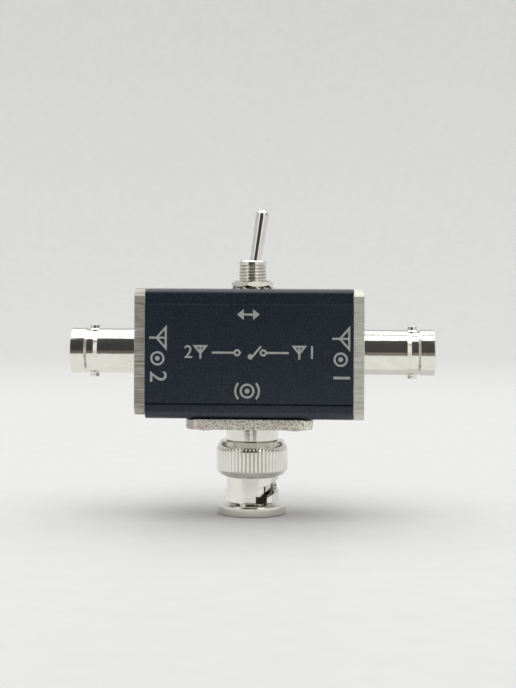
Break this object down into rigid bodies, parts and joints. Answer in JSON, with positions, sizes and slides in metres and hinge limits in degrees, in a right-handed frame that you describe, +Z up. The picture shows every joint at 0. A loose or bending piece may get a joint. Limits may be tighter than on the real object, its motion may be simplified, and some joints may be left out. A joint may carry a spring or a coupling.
{
  "type": "coaxial antenna switch",
  "caption": "Coaxial antenna switch: square tube body, bayonet jack on each end, flanged bayonet plug below and a toggle lever on top.",
  "frame": {"origin": "centre of the lower face of the plug's coupling nut, on which the part stands, so the centre of its box seen from above", "axes": "+Z up along the plug's axis, away from the plug; +X towards the right-hand antenna jack; -Y out of the marked front face"},
  "size_m": [0.0766, 0.0264, 0.0642],
  "materials": {
    "black_anodised": "satin blue-black anodised aluminium with engraved pale grey marks",
    "plate_aluminium": "sawn and brushed bare aluminium",
    "screw_steel": "zinc plated steel",
    "bright_nickel": "bright nickel on turned brass",
    "cast_zinc": "nickel plated die-cast zinc, rough on its edges",
    "gold_brass": "gold plated brass",
    "ptfe": "white fluoropolymer",
    "silicone": "red-brown silicone rubber",
    "toggle_nickel": "nickel plated brass",
    "toggle_chrome": "bright plated brass",
    "moulded_case": "red moulded thermoset",
    "moulded_plunger": "natural acetal",
    "silver_contact": "silver plated copper",
    "tinned_copper": "tinned copper wire"
  },
  "bodies": {
    "housing": {"extruded_tube": "black_anodised", "end_plate_left": "plate_aluminium", "end_plate_right": "plate_aluminium", "end_plate_screws_left": "screw_steel", "end_plate_screws_right": "screw_steel", "flange_screws": "screw_steel", "jack_shell_left": "bright_nickel", "jack_shell_right": "bright_nickel", "jack_washer_left": "bright_nickel", "jack_washer_right": "bright_nickel", "jack_nut_left": "bright_nickel", "jack_nut_right": "bright_nickel", "jack_insulator_left": "ptfe", "jack_insulator_right": "ptfe", "plug_insulator": "ptfe", "jack_contact_left": "gold_brass", "jack_contact_right": "gold_brass", "plug_pin": "gold_brass", "plug_body": "bright_nickel", "plug_flange": "cast_zinc", "spring_washers": "screw_steel", "plug_gasket": "silicone", "toggle_bushing": "toggle_nickel", "toggle_outer_nut": "toggle_nickel", "toggle_inner_nut": "toggle_nickel", "toggle_lock_washer": "toggle_nickel", "toggle_frame": "screw_steel", "toggle_case": "moulded_case", "common_terminal": "silver_contact", "throw_terminal_left": "silver_contact", "throw_terminal_right": "silver_contact", "jack_lead_left": "tinned_copper", "jack_lead_right": "tinned_copper", "common_lead": "tinned_copper"},
    "lever": {"toggle_lever": "toggle_chrome", "plunger_spring": "screw_steel"},
    "plunger": {"toggle_plunger": "moulded_plunger"},
    "rocker": {"rocker_blade": "silver_contact"},
    "nut_thrust_washer": {"thrust_washer": "screw_steel"},
    "coupling_nut": {"coupling_nut": "bright_nickel"}
  },
  "joints": [
    {"name": "lever_throw", "type": "hinge", "parent": "housing", "child": "lever", "pos_m": [0, 0, 0.04925], "axis": [0, -1, 0], "range_deg": [0, 16.4]},
    {"name": "plunger_press", "type": "slide", "parent": "lever", "child": "plunger", "axis": [0.1426, 0, 0.9898], "range_m": [0, 0.0005], "stiffness_N_per_m": 1500, "springref_m": -0.001, "deforming": ["plunger_spring"]},
    {"name": "blade_rock", "type": "hinge", "parent": "housing", "child": "rocker", "pos_m": [0, 0, 0.0389], "axis": [0, -1, 0], "range_deg": [-16.4, 0]},
    {"name": "nut_push", "type": "slide", "parent": "housing", "child": "nut_thrust_washer", "axis": [0, 0, -1], "range_m": [0, 0.0008], "stiffness_N_per_m": 8000, "springref_m": -0.0005, "deforming": ["spring_washers"]},
    {"name": "nut_turn", "type": "hinge", "parent": "nut_thrust_washer", "child": "coupling_nut", "pos_m": [0, 0, 0], "axis": [0, 0, 1], "continuous": true}
  ],
  "couplings": [
    {"joint": "blade_rock", "follows": "lever_throw", "ratio": -1}
  ]
}
